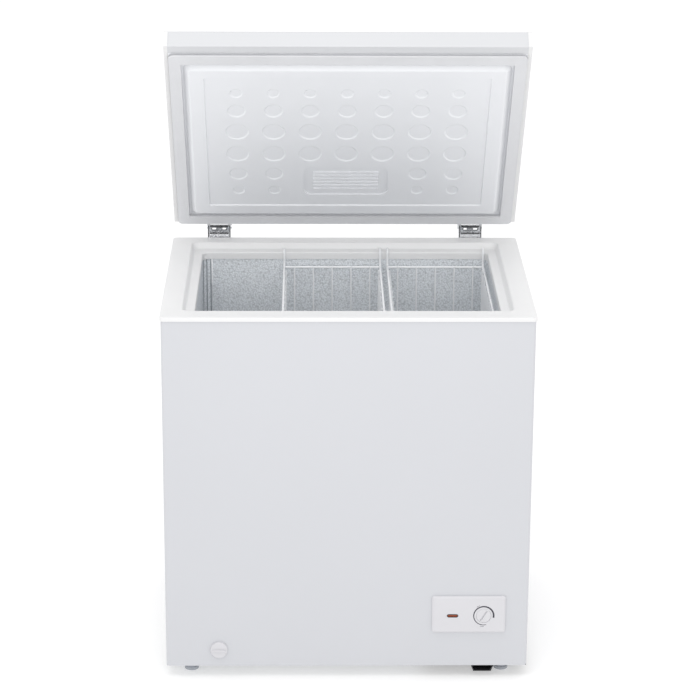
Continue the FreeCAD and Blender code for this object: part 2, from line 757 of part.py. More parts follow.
def compressor():
    """Welded shell in two halves on a foot plate."""
    half_x, half_y = compressor_width / 2, compressor_length / 2
    full = (cx - half_x, cx + half_x, cy - half_y, cy + half_y)
    small = grown(full, -14)
    middle = shell_z + compressor_height * 0.5
    top = shell_z + compressor_height
    body = [taper(small, 40, shell_z, full, 54, shell_z + 18), slab(full, 54, shell_z + 18, top - 24),
            taper(full, 54, top - 24, small, 40, top),
            slab(grown(full, 4), 58, middle - 3, middle + 3)]
    plate = slab((cx - mount_pitch_x / 2 - 16, cx + mount_pitch_x / 2 + 16,
                  cy - mount_pitch_y / 2 - 16, cy + mount_pitch_y / 2 + 16), 14, plate_z, shell_z)
    holes = [rod((x, y, plate_z - 1), (x, y, shell_z + 40), bolt_radius + slip)
             for x, y in mount_places]
    return cut(fused(body + [plate]), *holes)


def grommet(x, y):
    """Rubber foot under the compressor's plate."""
    inner = bolt_radius + slip
    waist = grommet_radius - 3
    z0, z1 = tray_top, plate_z
    return turned([(inner, z0), (grommet_radius, z0), (grommet_radius, z0 + 4), (waist, z0 + 6),
                   (waist, z1 - 5), (grommet_radius, z1 - 3), (grommet_radius, z1), (inner, z1)],
                  (x, y, 0))


def mount_bolt(x, y):
    """Bolt up through the tray and the foot plate, with its nut."""
    bolt = fused([rod((x, y, base_z - 4), (x, y, base_z), 5.5),
                  rod((x, y, base_z), (x, y, shell_z + 9), bolt_radius)])
    nut = cut(rod((x, y, shell_z), (x, y, shell_z + 5), 5.5),
              rod((x, y, shell_z - 1), (x, y, shell_z + 9), bolt_radius + 0.02))
    return [bolt, nut]


nut_space = [rod((x, y, shell_z), (x, y, shell_z + 12), 6.0) for x, y in mount_places]
save("compressor", cut(compressor(), *nut_space))
save("compressor_grommets", *[grommet(x, y) for x, y in mount_places])
save("compressor_bolts", *[piece for x, y in mount_places for piece in mount_bolt(x, y)])

relay_z = shell_z + 28
compressor_front = cy - compressor_length / 2
compressor_rear = cy + compressor_length / 2
relay_rect = (cx - 30, cx + 30, compressor_front - 34, compressor_front)
save("relay_cover", box(*relay_rect, relay_z, relay_z + 50))

evaporator_in, evaporator_out = coil_points(evaporator)[-1], coil_points(evaporator)[0]
condenser_in, condenser_out = coil_points(condenser)[0], coil_points(condenser)[-1]
save("suction_pipe", bent_rod([(evaporator_out[0], compressor_rear, shell_z + 90),
                               (evaporator_out[0], evaporator_out[1], shell_z + 90),
                               evaporator_out], tight_bend, pipe_radius))
save("discharge_pipe", bent_rod([(condenser_in[0], compressor_rear, shell_z + 60),
                                 (condenser_in[0], condenser_in[1], shell_z + 60),
                                 condenser_in], tight_bend, pipe_radius))

drier_x, drier_y = condenser_out[:2]


def filter_drier():
    z1 = tube_end_z
    z0 = z1 - drier_length
    return turned([(0, z0), (2.5, z0), (2.5, z0 + 8), (drier_radius, z0 + 16),
                   (drier_radius, z1 - 14), (coil_radius, z1 - 6), (coil_radius, z1), (0, z1)],
                  (drier_x, drier_y, 0))


capillary_z = tube_end_z - drier_length
save("filter_drier", filter_drier())
save("capillary_tube", bent_rod([(drier_x, drier_y, capillary_z),
                                 (drier_x, drier_y, capillary_z - 30),
                                 (evaporator_in[0], evaporator_in[1], capillary_z - 30),
                                 evaporator_in], 9.0, capillary_radius))


# ---------------------------------------------------------------- front controls
def bezel_block(inset, top):
    """The bezel's bevelled form, facing +Z, or its inner form when inset."""
    rect = (-bezel_width / 2 + inset, bezel_width / 2 - inset,
            -bezel_height / 2 + inset, bezel_height / 2 - inset)
    edge = top - bezel_bevel * 0.7
    return fused([slab(rect, 5 - inset, 0, edge),
                  taper(rect, 5 - inset, edge, grown(rect, -bezel_bevel), 3, top)])


def bezel():
    body = cut(bezel_block(0, bezel_proud), bezel_block(bezel_wall, bezel_proud - bezel_wall),
               slab((-lens_length / 2 + lens_offset, lens_length / 2 + lens_offset,
                     -lens_height / 2 - dial_drop, lens_height / 2 - dial_drop),
                    lens_height / 2 - 0.1, -5, 20),
               rod((knob_offset, -dial_drop, -5), (knob_offset, -dial_drop, 20),
                   knob_radius + fit_gap))
    return facing_front(body, bezel_at[0], front, bezel_at[1])


knob_top = bezel_proud + knob_above_bezel
knob_base = knob_top - knob_depth
bore_end = knob_base - knob_floor


def knob():
    """Flush disc with a diagonal coin slot, on a hub that takes the thermostat's shaft."""
    top, base = knob_top, knob_base
    disc = turned([(0, base), (knob_radius, base), (knob_radius, top - 0.8),
                   (knob_radius - 0.8, top), (0, top)], (0, 0, 0))
    hub = rod((0, 0, -6), (0, 0, base), shaft_radius + 3)
    slot = box(-knob_radius + 3, knob_radius - 3, -1.6, 1.6, top - 2.2, top + 1)
    slot.rotate(Vector(), Vector(0, 0, 1), knob_slot_angle)
    bore = rod((0, 0, -7), (0, 0, bore_end), shaft_radius + 0.02)
    return facing_front(cut(fused([disc, hub]), slot, bore), knob_at[0], front, knob_at[1])


def thermostat():
    wide, high, deep = thermostat_size
    x, z = knob_at
    y = front + thermostat_front
    block = box(x - wide / 2, x + wide / 2, y, y + deep, z - high / 2, z + high / 2)
    return cut(block, rod((x, y - 1, z), (x, y + 10, z), shaft_radius + running))


def thermostat_bracket():
    """Strip behind the front sheet that carries the thermostat and the lamp."""
    x0, x1 = bezel_at[0] - bezel_width / 2, bezel_at[0] + bezel_width / 2
    y = front + thermostat_front
    z = bezel_at[1] - dial_drop
    strip = box(x0 + 2, x1 - 2, y - 1.5, y, z - 16, z + 16)
    ends = [box(x, x + 10, front + steel, y - 1.5, z - 16, z + 16) for x in (x0 + 2, x1 - 12)]
    hole = rod((knob_at[0], y - 5, z), (knob_at[0], y + 5, z), shaft_radius + 4)
    lamp_hole = rod((lens_at[0], y - 5, z), (lens_at[0], y + 5, z), lamp_radius + slip)
    return cut(fused([strip] + ends), hole, lamp_hole)


lens_rect = (-lens_length / 2 + 0.1, lens_length / 2 - 0.1, -lens_height / 2 + 0.1, lens_height / 2 - 0.1)
lens = fused([slab(lens_rect, lens_height / 2 - 0.3, bezel_proud - bezel_wall, bezel_proud - 1.0),
              slab(grown(lens_rect, 2), 3, bezel_proud - bezel_wall - 1.2, bezel_proud - bezel_wall)])
save("control_bezel", bezel())
save("thermostat_knob", knob())
save("thermostat_shaft", rod((knob_at[0], front - bore_end + fit_gap, knob_at[1]),
                             (knob_at[0], front + thermostat_front + 8, knob_at[1]), shaft_radius))
save("thermostat_body", thermostat())
save("control_bracket", thermostat_bracket())
save("indicator_lens", facing_front(lens, lens_at[0], front, lens_at[1]))
save("indicator_lamp", rod((lens_at[0], front + 3, lens_at[1]),
                           (lens_at[0], front + thermostat_front + 20, lens_at[1]), lamp_radius))
harness_x = knob_at[0]
save("wiring_harness", bent_rod([(harness_x, front + thermostat_front + thermostat_size[2],
                                  knob_at[1] - 8),
                                 (harness_x, compressor_front - 60, knob_at[1] - 8),
                                 (harness_x, compressor_front - 60, relay_z + 20),
                                 (harness_x, compressor_front - 34, relay_z + 20)], 10.0, 3.5))


# ---------------------------------------------------------------- lid, modelled shut
panel_z = lid_z + steel      # underside of the inner panel round its edge
lid_x0, lid_x1, lid_y0, lid_y1 = lid_rect
gasket_outer = (lid_x0 + gasket_side, lid_x1 - gasket_side, lid_y0 + gasket_front,
                lid_y1 - gasket_rear)
gasket_inner = grown(gasket_outer, -gasket_width)
plateau_top = grown(gasket_inner, -plateau_gap - plateau_slope)
plateau_z = panel_z - plateau_height
field_rect = grown(plateau_top, -field_border_x, -field_border_front, -field_border_rear)
field_z = plateau_z + field_depth
field_middle = (field_rect[2] + field_rect[3]) / 2
dimple_columns = int((field_rect[1] - field_rect[0]) / dimple_pitch)
pocket_y = field_rect[3] - pocket_rear - pocket_depth / 2
pocket_rect = (-pocket_width / 2, pocket_width / 2, pocket_y - pocket_depth / 2,
               pocket_y + pocket_depth / 2)


def x_edges(shape, z_low, z_high):
    """Edges that run along X between these heights."""
    return [e for e in shape.Edges if e.BoundBox.XLength > 3 and e.BoundBox.YLength < 0.01
            and z_low < e.BoundBox.ZMin and e.BoundBox.ZMax < z_high]


def lid_pan(x0, x1, by, proud, radius):
    """The lid's folded section as a solid, moved inwards by a gauge."""
    block = box(x0, x1, lid_y0 + by, lid_y1 - by, lid_z + max(by, 0), lid_top + proud - max(by, 0))
    return block.makeFillet(radius, x_edges(block, lid_top - 20, lid_top + 20))


def lid_skin():
    """Coated steel top sheet with its front and rear folds."""
    x0, x1 = lid_x0 + lid_trim_width, lid_x1 - lid_trim_width
    outside = lid_pan(x0, x1, 0, 0, lid_fold_radius)
    inside = lid_pan(x0 - 1, x1 + 1, steel, 0, lid_fold_radius - steel)
    mouth = box(x0 - 1, x1 + 1, lid_y0 + lid_front_flange, lid_y1 - gasket_rear + fit_gap,
                lid_z - 1, lid_z + 5)
    return cut(outside, inside, mouth)


def lid_trim():
    """Plastic end cap of the lid, open towards the lid."""
    x0, x1 = lid_x1 - lid_trim_width, lid_x1
    outside = lid_pan(x0, x1, -lid_trim_edge, lid_trim_proud, lid_fold_radius + 2)
    inside = lid_pan(x0 - 1, x1 - lid_trim_wall, lid_trim_wall - lid_trim_edge, lid_trim_proud,
                     lid_fold_radius)
    return cut(outside, inside)


def panel_bulge(inset):
    """The raised panel's form down from the flat edge; inset gives its inner face."""
    foot_z, edge = panel_z + panel_gauge, plateau_gap + plateau_slope
    profile = [(plateau_gap, foot_z), (edge, plateau_z + inset)]
    if inset == 0:
        outer_face = softened([(0, panel_z), (plateau_gap, panel_z), (edge, plateau_z),
                               (2 * edge, plateau_z)], (plateau_gap / 2, plateau_edge_radius))[:-1]
        profile = [(outer_face[0][0], foot_z)] + outer_face
    levels = [(grown(gasket_inner, -a - inset), plateau_radius + edge - a, z) for a, z in profile]
    tools = [field_tool(inset), slab(grown(pocket_rect, inset), pocket_radius + inset,
                                     field_z - 1, field_z + pocket_sink + inset)]
    tools += [dimple(x, y, size, inset) for x, y, size in dimple_places()]
    return cut(fused(tapered_stack(levels)), *tools)


def field_tool(inset):
    """Sunk field with leaning side walls."""
    rect = grown(field_rect, inset)
    return taper(grown(rect, field_draft), field_radius + field_draft + inset, plateau_z - field_depth,
                 grown(rect, -field_draft), field_radius - field_draft + inset, field_z + inset)


def dimple_places():
    """Rows each side of the field's middle, where the field has room and the pocket leaves it."""
    half_field = (field_rect[3] - field_rect[2]) / 2
    for column in range(dimple_columns):
        x = (column - (dimple_columns - 1) / 2) * dimple_pitch
        for offset, size in dimple_rows:
            for y in (field_middle - offset, field_middle + offset):
                over_pocket = abs(x) < pocket_width / 2 and y + size / 2 > pocket_rect[2]
                if not over_pocket and offset + size / 2 < half_field - field_draft:
                    yield x, y, size


def dimple(x, y, size, inset):
    """Shallow round dish with a sloping side and a flat bottom."""
    grade = dimple_slope / dimple_depth
    rise = dimple_depth + inset
    return Part.makeCone(size / 2 + inset + grade, size / 2 + inset - grade * rise, rise + 1,
                         Vector(x, y, field_z - 1))


def inner_panel(hollow):
    """Formed white sheet on the lid's underside."""
    flat = box(lid_x0 + lid_trim_width + fit_gap, lid_x1 - lid_trim_width - fit_gap,
               lid_y0 + lid_front_flange - panel_over_flange, lid_y1 - steel - fit_gap,
               panel_z, panel_z + panel_gauge)
    floor = field_z + pocket_sink
    ribs = [box(-rib_length / 2, rib_length / 2, y - rib_width / 2, y + rib_width / 2,
                floor - pocket_sink * 0.8, floor + panel_gauge / 2)
            for y in (pocket_y + (n - (rib_count - 1) / 2) * rib_pitch for n in range(rib_count))]
    return fused([cut(fused([flat, panel_bulge(0)]), hollow)] + ribs)


def lid_foam(hollow):
    """Foam slab that fills the lid down into the raised panel."""
    gap = fit_gap
    block = lid_pan(lid_x0 + lid_trim_width, lid_x1 - lid_trim_width, steel, 0,
                    lid_fold_radius - steel)
    cover = box(lid_x0, lid_x1, lid_y0, lid_y1, lid_z, panel_z + panel_gauge)
    keep = box(lid_x0, lid_x1, lid_y0 + gap, lid_y1 - gap, lid_z, lid_top)
    return fused([cut(block.common(keep), cover), hollow])


def ring(rect, width_in, radius, z0, z1):
    return cut(slab(rect, radius, z0, z1), slab(grown(rect, -width_in), max(radius - width_in, 2),
                                                z0 - 1, z1 + 1))


def gasket():
    """Hollow magnetic seal: a base strip, narrower bellows and a wide sealing foot."""
    height = panel_z - rim_z - fit_gap
    z_foot, z_base = panel_z - height, panel_z - 2
    foot_top = z_foot + 3.6
    solid = fused([ring(gasket_outer, gasket_width, 10, z_foot, foot_top),
                   ring(grown(gasket_outer, -3.5), gasket_width - 7, 8, foot_top, z_base),
                   ring(gasket_outer, gasket_width, 10, z_base, panel_z)])
    hollow = ring(grown(gasket_outer, -5), gasket_width - 10, 7, foot_top - 0.8, z_base - 0.2)
    return cut(solid, hollow)


def lid_nodes():
    hollow = panel_bulge(panel_gauge)
    trim = lid_trim()
    return {"lid_skin": [lid_skin()], "lid_trim_right": [trim], "lid_trim_left": [mirrored(trim)],
            "lid_inner_panel": [inner_panel(hollow)], "lid_foam": [lid_foam(hollow)],
            "lid_gasket": [gasket()]}


# ---------------------------------------------------------------- hinges
axis_y, axis_z = hinge_line
ear_x = hinge_width / 2 - hinge_gauge        # inner face of the cabinet bracket's ears
arm_x = ear_x - 1.0                          # outer face of the lid bracket's arms


def around_axis(angle, arm):
    """A (y, z) point ahead of the hinge line, this many degrees above the horizontal."""
    a = math.radians(angle)
    return axis_y - arm * math.cos(a), axis_z + arm * math.sin(a)


link_at = around_axis(link_shut_angle, link_arm)
link_open = around_axis(link_shut_angle + open_angle, link_arm)
spring_y = axis_y - link_arm * 0.9
seat_z = axis_z - spring_seat_drop
cap_top = link_open[1] - link_pin_radius - plunger_gap
web_y = axis_y - hinge_web_front
web_top = axis_z + hinge_web_height
plate_top = rim_z - rim_skirt - 1.5
plate_bottom = plate_top - hinge_plate_length


def cabinet_bracket(x):
    """Pressed channel on the back sheet: plate, slotted web in front, two ears, spring seat."""
    g, half = hinge_gauge, hinge_width / 2
    plate = box(x - half, x + half, back, back + g, plate_bottom, plate_top)
    shelf = box(x - half, x + half, back, web_y + g, plate_top - g, plate_top)
    web = box(x - half, x + half, web_y, web_y + g, plate_top - g, web_top)
    seat = box(x - half, x + half, back, spring_y + 10, seat_z - g, seat_z)
    profile = [(back, plate_bottom), (back + 12, plate_bottom + 4), (axis_y + 9, axis_z - 24),
               (axis_y + 9, axis_z + 4), (axis_y + 4, axis_z + 9), (axis_y - 8, web_top),
               (web_y, web_top), (web_y, plate_top - g), (back, plate_top - g)]
    ears = [prism_x(profile, x + ear_x, x + half), prism_x(profile, x - half, x - ear_x)]
    z = axis_z + 1.5
    slot_x = hinge_slot_length / 2 - hinge_slot_height / 2
    slot = [box(x - slot_x, x + slot_x, web_y - 1, web_y + g + 1, z - hinge_slot_height / 2,
                z + hinge_slot_height / 2)]
    slot += [rod((x + s * slot_x, web_y - 1, z), (x + s * slot_x, web_y + g + 1, z),
                 hinge_slot_height / 2) for s in (-1, 1)]
    pin = rod((x - half - 1, axis_y, axis_z), (x + half + 1, axis_y, axis_z), hinge_pin_radius + 0.05)
    stem = rod((x, spring_y, seat_z - 9), (x, spring_y, seat_z + 9), plunger_stem_radius + running)
    screws = [rod((x + i, back - 1, z), (x + i, back + 9, z), 2.0) for i, z in bracket_screws()]
    return cut(fused([plate, shelf, web, seat] + ears), pin, stem, *(slot + screws))


def bracket_screws():
    return [(i, z) for i in (-13.0, 13.0) for z in (plate_bottom + 12, plate_bottom + 30)]


def lid_bracket(x):
    """Plate on the lid's rear fold with two arms that carry the hinge pin and the link pin."""
    g = hinge_gauge
    y = lid_y1
    z0, z1 = web_top + 3, lid_top - 3.5
    plate = box(x - arm_x, x + arm_x, y, y + g, z0, z1)
    low_y, low_z = link_at
    profile = [(y, z0), (axis_y - 20, z0 - 2), (low_y - 6.2, low_z), (low_y - 3.4, low_z - 5.5),
               (low_y + 3, low_z - 5.5), (axis_y, axis_z - 8), (axis_y + 6, axis_z - 6),
               (axis_y + 8, axis_z), (axis_y + 8, axis_z + 8), (y, z1)]
    arms = [prism_x(profile, x + arm_x - g, x + arm_x), prism_x(profile, x - arm_x, x - arm_x + g)]
    holes = [rod((x - arm_x - 1, axis_y, axis_z), (x + arm_x + 1, axis_y, axis_z),
                 hinge_pin_radius + running),
             rod((x - arm_x - 1, *link_at), (x + arm_x + 1, *link_at), link_pin_radius + 0.05)]
    holes += [rod((x + i, y - 1, z), (x + i, y + 9, z), 2.0) for i, z in lid_screws()]
    return cut(fused([plate] + arms), *holes)


def lid_screws():
    return [(i, lid_top - 12.0) for i in (-13.0, 13.0)]


def hinge_pin(x):
    half = hinge_width / 2
    return fused([rod((x - half - 2, axis_y, axis_z), (x + half + 2, axis_y, axis_z),
                      hinge_pin_radius),
                  rod((x - half - 2, axis_y, axis_z), (x - half, axis_y, axis_z),
                      hinge_pin_radius + 2.5),
                  rod((x + half, axis_y, axis_z), (x + half + 2, axis_y, axis_z),
                      hinge_pin_radius + 2.5)])


def link_pin(x):
    return rod((x - arm_x - 0.4, *link_at), (x + arm_x + 0.4, *link_at), link_pin_radius)


def plunger(x):
    """Cap and stem pressed up against the link pin by the spring."""
    bottom = cap_top - plunger_cap_height
    return fused([rod((x, spring_y, bottom), (x, spring_y, cap_top), plunger_cap_radius),
                  rod((x, spring_y, seat_z - 10), (x, spring_y, bottom), plunger_stem_radius)])


def spring(x):
    """Compression spring between the seat and the plunger's cap, its ends squared."""
    low, high = seat_z + spring_wire, cap_top - plunger_cap_height - spring_wire
    pitch = (high - low) / spring_turns
    helix = Part.makeHelix(pitch, high - low, spring_radius)
    profile = Part.Wire([Part.makeCircle(spring_wire, Vector(spring_radius, 0, 0), Vector(0, 1, 0))])
    wire = Part.Wire(helix.Edges).makePipeShell([profile], True, True)
    wire.translate(Vector(x, spring_y, low))
    return wire


lid_parts = lid_nodes()
lid_screw_solids = []
bracket_screw_solids = []
for side, x in hinge_places.items():
    save("hinge_cabinet_bracket_" + side, cabinet_bracket(x))
    save("hinge_plunger_" + side, plunger(x))
    lid_parts["hinge_lid_bracket_" + side] = [lid_bracket(x)]
    bracket_screw_solids += [screw(x + i, back + hinge_gauge, z, 1) for i, z in bracket_screws()]
    lid_screw_solids += [screw(x + i, lid_y1 + hinge_gauge, z, 1) for i, z in lid_screws()]
lid_parts["hinge_lid_screws"] = lid_screw_solids
lid_parts["hinge_link_pins"] = [link_pin(x) for x in hinge_places.values()]
save("hinge_pins", *[hinge_pin(x) for x in hinge_places.values()])
save("hinge_springs", *[spring(x) for x in hinge_places.values()])
save("hinge_cabinet_screws", *bracket_screw_solids)
screw_shanks = [rod((s.BoundBox.Center.x, back - 12, s.BoundBox.Center.z),
                    (s.BoundBox.Center.x, back + 1, s.BoundBox.Center.z), 1.95)
                for s in bracket_screw_solids]
lid_shanks = [rod((s.BoundBox.Center.x, lid_y1 - 12, s.BoundBox.Center.z),
                  (s.BoundBox.Center.x, lid_y1 + 1, s.BoundBox.Center.z), 1.95)
              for s in lid_screw_solids]
for name in ("back_sheet", "insulation_foam"):
    parts[name] = cut(parts[name], *screw_shanks)
for name in ("lid_skin", "lid_foam"):
    lid_parts[name] = [cut(lid_parts[name][0], *lid_shanks)]
for name, shapes in lid_parts.items():
    for shape in shapes:
        shape.rotate(Vector(0, axis_y, axis_z), Vector(1, 0, 0), -open_angle)
    save(name, *shapes)


# ---------------------------------------------------------------- baskets
basket_top = rim_z - basket_drop
basket_y0 = lip_rect[2] + basket_wall_gap + frame_wire
basket_y1 = lip_rect[3] - basket_wall_gap - frame_wire
basket_right_x = liner_rect[1] - basket_side_gap - basket_width / 2
basket_left_x = basket_right_x - basket_width - basket_between
half_frame = basket_width / 2 - frame_wire
rod_in = rail_bend + frame_wire      # end rods ahead of the rails' corners
mesh_in = frame_wire + mesh_wire
mesh_top = basket_top + frame_wire
mesh_floor = basket_top - basket_height + mesh_wire


def ledge_height(reach):
    """Height of the ledge this far outside its lip."""
    return ledge_edge_z + ledge_drop * reach / ledge_run


def basket_frame(x):
    """Two side rails bent up into hooks that rest on the rim's ledge, and two end rods between."""
    reach = ledge_run - hook_inset
    y0, y1 = basket_y0, basket_y1
    z = ledge_height(reach) + frame_wire + 0.05
    solids = [bent_rod([(at, lip_rect[2] - reach, z), (at, y0, z), (at, y0, basket_top),
                        (at, y1, basket_top), (at, y1, z), (at, lip_rect[3] + reach, z)],
                       rail_bend, frame_wire) for at in (x - half_frame, x + half_frame)]
    inner = half_frame - frame_wire
    solids += [rod((x - inner, y, basket_top), (x + inner, y, basket_top), frame_wire)
               for y in (y0 + rod_in, y1 - rod_in)]
    return solids


def u_wire(points):
    return bent_rod(points, mesh_bend, mesh_wire)


def basket_mesh(x):
    """U-shaped wires front to rear, and U-shaped wires from side to side above them."""
    y0, y1 = basket_y0 + rod_in + mesh_in, basket_y1 - rod_in - mesh_in
    x0, x1 = x - half_frame + mesh_in, x + half_frame - mesh_in
    low, high = mesh_floor, mesh_floor + 2 * mesh_wire
    long_wires, cross_wires = [], []
    for n in range(long_wire_count):
        at = x + (n - (long_wire_count - 1) / 2) * long_wire_pitch
        long_wires.append(u_wire([(at, y0, mesh_top), (at, y0, low), (at, y1, low),
                                  (at, y1, mesh_top)]))
    span = y1 - y0
    for n in range(cross_wire_count):
        at = y0 + span * (n + 0.75) / (cross_wire_count + 0.5)
        cross_wires.append(u_wire([(x0, at, mesh_top), (x0, at, high), (x1, at, high),
                                   (x1, at, mesh_top)]))
    return long_wires, cross_wires


for side, x in (("left", basket_left_x), ("right", basket_right_x)):
    long_wires, cross_wires = basket_mesh(x)
    save("basket_" + side + "_frame", *basket_frame(x))
    save("basket_" + side + "_long_wires", *long_wires)
    save("basket_" + side + "_cross_wires", *cross_wires)

os.makedirs("parts", exist_ok=True)
for name, shape in parts.items():
    assert shape.isValid(), name
    shape.exportStep("parts/" + name + ".step")
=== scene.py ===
"""Chest freezer with a raised lid: finishes, small detail, floor, light and camera.

Metres, in the freezer's own frame: +X right, +Y back, +Z up, origin on the floor.
"""

import json
import math

import bmesh
import bpy
from mathutils import Matrix, Vector


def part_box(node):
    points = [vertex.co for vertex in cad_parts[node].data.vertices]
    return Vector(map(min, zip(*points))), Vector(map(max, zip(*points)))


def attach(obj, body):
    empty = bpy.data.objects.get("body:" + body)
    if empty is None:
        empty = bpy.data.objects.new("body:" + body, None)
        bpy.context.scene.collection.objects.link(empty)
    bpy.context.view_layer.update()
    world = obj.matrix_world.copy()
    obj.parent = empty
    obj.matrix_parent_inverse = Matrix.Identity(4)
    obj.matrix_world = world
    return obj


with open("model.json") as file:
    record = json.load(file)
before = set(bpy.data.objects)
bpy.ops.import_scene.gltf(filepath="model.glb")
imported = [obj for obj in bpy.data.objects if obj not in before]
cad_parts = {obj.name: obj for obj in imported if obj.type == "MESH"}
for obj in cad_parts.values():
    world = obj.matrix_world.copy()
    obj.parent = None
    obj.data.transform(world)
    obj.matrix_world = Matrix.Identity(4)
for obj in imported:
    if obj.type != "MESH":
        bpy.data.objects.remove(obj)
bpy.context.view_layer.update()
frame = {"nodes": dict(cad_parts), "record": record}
MM = 0.001


# ---------------------------------------------------------------- node helpers
def new_material(name, colour, roughness, metallic=0.0, coat=0.0, coat_roughness=0.1):
    """A Principled surface whose even values sit on its own sockets."""
    material = bpy.data.materials.new(name)
    material.use_nodes = True
    shader = material.node_tree.nodes["Principled BSDF"]
    shader.inputs["Base Color"].default_value = (*colour, 1)
    shader.inputs["Roughness"].default_value = roughness
    shader.inputs["Metallic"].default_value = metallic
    shader.inputs["Coat Weight"].default_value = coat
    shader.inputs["Coat Roughness"].default_value = coat_roughness
    material.diffuse_color = (*colour, 1)
    return material


def add(material, kind, **settings):
    node = material.node_tree.nodes.new(kind)
    for key, value in settings.items():
        setattr(node, key, value)
    return node


def join(material, source, output, target, socket):
    material.node_tree.links.new(source.outputs[output], target.inputs[socket])


def place(material, scale=(1, 1, 1), turn=(0, 0, 0)):
    """Object coordinates through a Mapping node."""
    coords = add(material, "ShaderNodeTexCoord")
    mapping = add(material, "ShaderNodeMapping")
    mapping.inputs["Scale"].default_value = scale
    mapping.inputs["Rotation"].default_value = turn
    join(material, coords, "Object", mapping, "Vector")
    return mapping


def noise(material, mapping, scale, detail=2.0, roughness=0.5):
    node = add(material, "ShaderNodeTexNoise")
    node.inputs["Scale"].default_value = scale
    node.inputs["Detail"].default_value = detail
    node.inputs["Roughness"].default_value = roughness
    join(material, mapping, "Vector", node, "Vector")
    return node


def spread(material, source, output, low, high, out_low, out_high):
    """Maps a pattern's range onto another range."""
    node = add(material, "ShaderNodeMapRange")
    limits = {"From Min": low, "From Max": high, "To Min": out_low, "To Max": out_high}
    for socket, value in limits.items():
        node.inputs[socket].default_value = value
    join(material, source, output, node, "Value")
    return node


def tint(material, source, output, dark, light):
    """A pattern value turned into a colour between two near shades."""
    ramp = add(material, "ShaderNodeValToRGB")
    ramp.color_ramp.elements[0].color = (*dark, 1)
    ramp.color_ramp.elements[1].color = (*light, 1)
    join(material, source, output, ramp, "Fac")
    return ramp


def shader_of(material):
    return material.node_tree.nodes["Principled BSDF"]


def bump(material, source, output, strength, distance, base=None):
    node = add(material, "ShaderNodeBump")
    node.inputs["Strength"].default_value = strength
    node.inputs["Distance"].default_value = distance
    join(material, source, output, node, "Height")
    if base:
        join(material, base, "Normal", node, "Normal")
    return node


def finish_surface(material, colour=None, roughness=None, normal=None):
    shader = shader_of(material)
    if colour:
        join(material, colour, "Color", shader, "Base Color")
    if roughness:
        join(material, roughness, "Result", shader, "Roughness")
    if normal:
        join(material, normal, "Normal", shader, "Normal")
    return material


def shade(colour, factor):
    return tuple(min(1.0, c * factor) for c in colour)


# ---------------------------------------------------------------- finishes
def powder_paint(name, colour, roughness):
    """Oven-cured paint on sheet steel: a fine orange peel, and a slow drift in tone."""
    m = new_material(name, colour, roughness, coat=0.15, coat_roughness=0.25)
    where = place(m)
    drift = noise(m, where, 3.0, 3.0)
    peel = noise(m, where, 420.0, 2.0)
    wave = noise(m, where, 9.0, 1.0)
    colour_ramp = tint(m, drift, "Fac", shade(colour, 0.985), shade(colour, 1.01))
    sheen = spread(m, drift, "Fac", 0.3, 0.7, roughness - 0.03, roughness + 0.04)
    soft = bump(m, wave, "Fac", 0.06, 0.004)
    return finish_surface(m, colour_ramp, sheen, bump(m, peel, "Fac", 0.10, 0.00025, soft))


def moulded_plastic(name, colour, roughness, grain=900.0, depth=0.00012):
    """Moulded plastic with a fine spark-eroded grain and a faint flow variation."""
    m = new_material(name, colour, roughness)
    where = place(m)
    grain_noise = noise(m, where, grain, 2.0)
    flow = noise(m, where, 14.0, 3.0)
    colour_ramp = tint(m, flow, "Fac", shade(colour, 0.975), shade(colour, 1.015))
    sheen = spread(m, grain_noise, "Fac", 0.3, 0.7, roughness - 0.05, roughness + 0.07)
    return finish_surface(m, colour_ramp, sheen, bump(m, grain_noise, "Fac", 0.25, depth))


def stucco_aluminium(name, colour):
    """Embossed aluminium sheet: small irregular pebbles; their valleys are painted darker than the crowns
    as painted shade.
    """
    m = new_material(name, colour, 0.45, metallic=0.15)
    where = place(m)
    bend = noise(m, where, 110.0, 2.0)
    mix = add(m, "ShaderNodeVectorMath", operation="MULTIPLY_ADD")
    join(m, bend, "Color", mix, 0)
    mix.inputs[1].default_value = (0.006, 0.006, 0.006)
    join(m, where, "Vector", mix, 2)
    cells = add(m, "ShaderNodeTexVoronoi", feature="SMOOTH_F1")
    cells.inputs["Scale"].default_value = 290.0
    cells.inputs["Smoothness"].default_value = 0.5
    join(m, mix, "Vector", cells, "Vector")
    fine = noise(m, where, 520.0, 2.0)
    dull = noise(m, where, 11.0, 4.0)
    # Colour runs from the sheet's own tone on the crowns to 0.6 of it in the valleys: painted shade in the
    # pebbles' hollows.
    colour_ramp = tint(m, cells, "Distance", colour, shade(colour, 0.60))
    colour_ramp.color_ramp.elements[1].position = 0.9
    sheen = spread(m, dull, "Fac", 0.3, 0.7, 0.38, 0.50)
    pebbles = bump(m, cells, "Distance", 0.8, -0.001)
    return finish_surface(m, colour_ramp, sheen, bump(m, fine, "Fac", 0.2, 0.0002, pebbles))


def zinc_sheet(name, colour, roughness=0.36, cell=60.0):
    """Zinc-coated steel with a soft spangle and fine rolling lines."""
    m = new_material(name, colour, roughness, metallic=1.0)
    where = place(m)
    cells = add(m, "ShaderNodeTexVoronoi")
    cells.inputs["Scale"].default_value = cell
    join(m, where, "Vector", cells, "Vector")
    fine = noise(m, where, 700.0, 2.0)
    grey = add(m, "ShaderNodeRGBToBW")
    join(m, cells, "Color", grey, "Color")
    colour_ramp = tint(m, grey, "Val", shade(colour, 0.84), shade(colour, 1.1))
    sheen = spread(m, grey, "Val", 0.0, 1.0, roughness - 0.07, roughness + 0.09)
    return finish_surface(m, colour_ramp, sheen, bump(m, fine, "Fac", 0.15, 0.0001))


